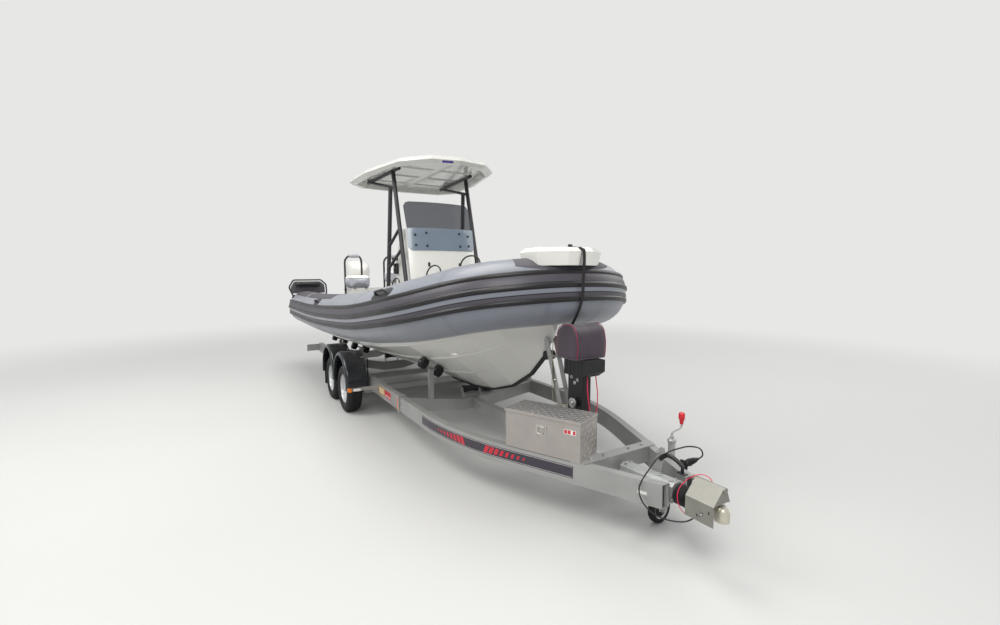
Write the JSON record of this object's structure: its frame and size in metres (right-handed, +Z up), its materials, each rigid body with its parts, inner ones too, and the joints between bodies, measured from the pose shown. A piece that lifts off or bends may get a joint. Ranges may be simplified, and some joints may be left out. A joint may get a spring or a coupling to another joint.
{
  "type": "inflatable rib boat",
  "caption": "Rigid inflatable boat with console, T-top and outboard, resting on a braked tandem-axle trailer with toolbox, winch post and jockey wheel.",
  "frame": {"origin": "on the floor, under the middle of the overall length, on the centreline", "axes": "+X forward towards the bow and the coupling, +Y to port, +Z up"},
  "size_m": [8.3214, 2.554, 3.0393],
  "materials": {
    "galvanised_steel": "satin",
    "tyre_rubber": "matte",
    "painted_steel_rim": "satin",
    "black_plastic": "satin",
    "lamp_plastic": "gloss",
    "black_rubber": "matte",
    "red_cord": "gloss",
    "black_webbing": "matte",
    "aluminium_sheet": "satin",
    "white_gelcoat": "gloss",
    "collar_fabric": "satin",
    "smoked_acrylic": "gloss",
    "black_tube": "satin",
    "seat_vinyl": "satin",
    "cover_fabric": "matte",
    "engine_metal": "satin"
  },
  "bodies": {
    "boat_and_trailer": {"trailer_rail_port": "galvanised_steel", "trailer_rail_starboard": "galvanised_steel", "cross_members": "galvanised_steel", "centre_spine": "galvanised_steel", "axles": "galvanised_steel", "mudguards": "black_plastic", "lamp_arms": "galvanised_steel", "lamps": "lamp_plastic", "hull": "white_gelcoat", "collar": "collar_fabric", "rubbing_strakes": "black_plastic", "keel_guard": "black_rubber", "bow_steps": "white_gelcoat", "windscreen": "smoked_acrylic", "console": "white_gelcoat", "ttop_roof": "white_gelcoat", "ttop_frame": "black_tube", "seat_hoops": "black_tube", "seat_bases": "white_gelcoat", "seat_cushions": "seat_vinyl", "backrest_frames": "black_tube", "backrest_pads": "seat_vinyl", "engine_clamp": "engine_metal", "roller_posts": "galvanised_steel", "hull_rollers": "black_rubber", "winch_strut": "galvanised_steel", "winch_column": "black_plastic", "bow_stop": "black_rubber", "winch_cover": "cover_fabric", "coupling_housing": "galvanised_steel", "coupling_bellows": "black_rubber", "coupling_head": "galvanised_steel", "coupling_cover": "galvanised_steel", "toolbox_body": "aluminium_sheet", "jockey_mounting": "galvanised_steel", "handbrake_lever": "galvanised_steel", "plug": "black_plastic", "trailer_cable": "black_rubber", "breakaway_cable": "red_cord", "winch_leads": "red_cord", "collar_fittings": "black_plastic"},
    "wheel_front_starboard": {"tyre_front_starboard": "tyre_rubber", "rim_front_starboard": "painted_steel_rim"},
    "wheel_front_port": {"tyre_front_port": "tyre_rubber", "rim_front_port": "painted_steel_rim"},
    "wheel_rear_starboard": {"tyre_rear_starboard": "tyre_rubber", "rim_rear_starboard": "painted_steel_rim"},
    "wheel_rear_port": {"tyre_rear_port": "tyre_rubber", "rim_rear_port": "painted_steel_rim"},
    "toolbox_lid_body": {"toolbox_lid": "aluminium_sheet"},
    "jockey_leg_body": {"jockey_leg": "galvanised_steel"},
    "jockey_fork_body": {"jockey_fork": "galvanised_steel"},
    "jockey_wheel_body": {"jockey_wheel": "tyre_rubber"},
    "engine_tilt_body": {"engine_swivel": "engine_metal"},
    "engine_steer_body": {"engine_leg": "engine_metal", "engine_cowling": "white_gelcoat"},
    "propeller_body": {"propeller": "engine_metal"},
    "helm_body": {"helm_wheel": "black_tube"}
  },
  "joints": [
    {"name": "wheel_front_starboard_spin", "type": "hinge", "parent": "boat_and_trailer", "child": "wheel_front_starboard", "pos_m": [-0.25427, -0.9875, 0.29], "axis": [0, 1, 0], "continuous": true},
    {"name": "wheel_front_port_spin", "type": "hinge", "parent": "boat_and_trailer", "child": "wheel_front_port", "pos_m": [-0.25427, 0.9875, 0.29], "axis": [0, 1, 0], "continuous": true},
    {"name": "wheel_rear_starboard_spin", "type": "hinge", "parent": "boat_and_trailer", "child": "wheel_rear_starboard", "pos_m": [-0.95427, -0.9875, 0.29], "axis": [0, 1, 0], "continuous": true},
    {"name": "wheel_rear_port_spin", "type": "hinge", "parent": "boat_and_trailer", "child": "wheel_rear_port", "pos_m": [-0.95427, 0.9875, 0.29], "axis": [0, 1, 0], "continuous": true},
    {"name": "toolbox_lid_hinge", "type": "hinge", "parent": "boat_and_trailer", "child": "toolbox_lid_body", "pos_m": [2.94595, -0.22923, 0.722], "axis": [-0.9171, -0.3987, 0], "range_deg": [0, 85]},
    {"name": "jockey_leg_slide", "type": "slide", "parent": "boat_and_trailer", "child": "jockey_leg_body", "axis": [0, 0, 1], "range_m": [0, 0.078]},
    {"name": "jockey_fork_swivel", "type": "hinge", "parent": "jockey_leg_body", "child": "jockey_fork_body", "pos_m": [3.52789, 0.30605, 0.218], "axis": [0, 0, 1], "continuous": true},
    {"name": "jockey_wheel_spin", "type": "hinge", "parent": "jockey_fork_body", "child": "jockey_wheel_body", "pos_m": [3.53417, 0.18622, 0.1], "axis": [0.9986, 0.0523, 0], "continuous": true},
    {"name": "engine_tilt", "type": "hinge", "parent": "boat_and_trailer", "child": "engine_tilt_body", "pos_m": [-3.30421, 0, 1.07036], "axis": [0, 1, 0], "range_deg": [-20, 35]},
    {"name": "engine_steering", "type": "hinge", "parent": "engine_tilt_body", "child": "engine_steer_body", "pos_m": [-3.42095, 0, 1.06257], "axis": [0.3223, 0, 0.9466], "range_deg": [-30, 30]},
    {"name": "propeller_spin", "type": "hinge", "parent": "engine_steer_body", "child": "propeller_body", "pos_m": [-4.0147, 0, 0.43863], "axis": [0.9466, 0, -0.3223], "continuous": true},
    {"name": "helm_spin", "type": "hinge", "parent": "boat_and_trailer", "child": "helm_body", "pos_m": [-0.02228, -0.15, 2.08857], "axis": [-0.8926, 0, 0.4509], "range_deg": [-360, 360]}
  ],
  "couplings": [
    {"joint": "helm_spin", "follows": "engine_steering", "ratio": -12}
  ]
}
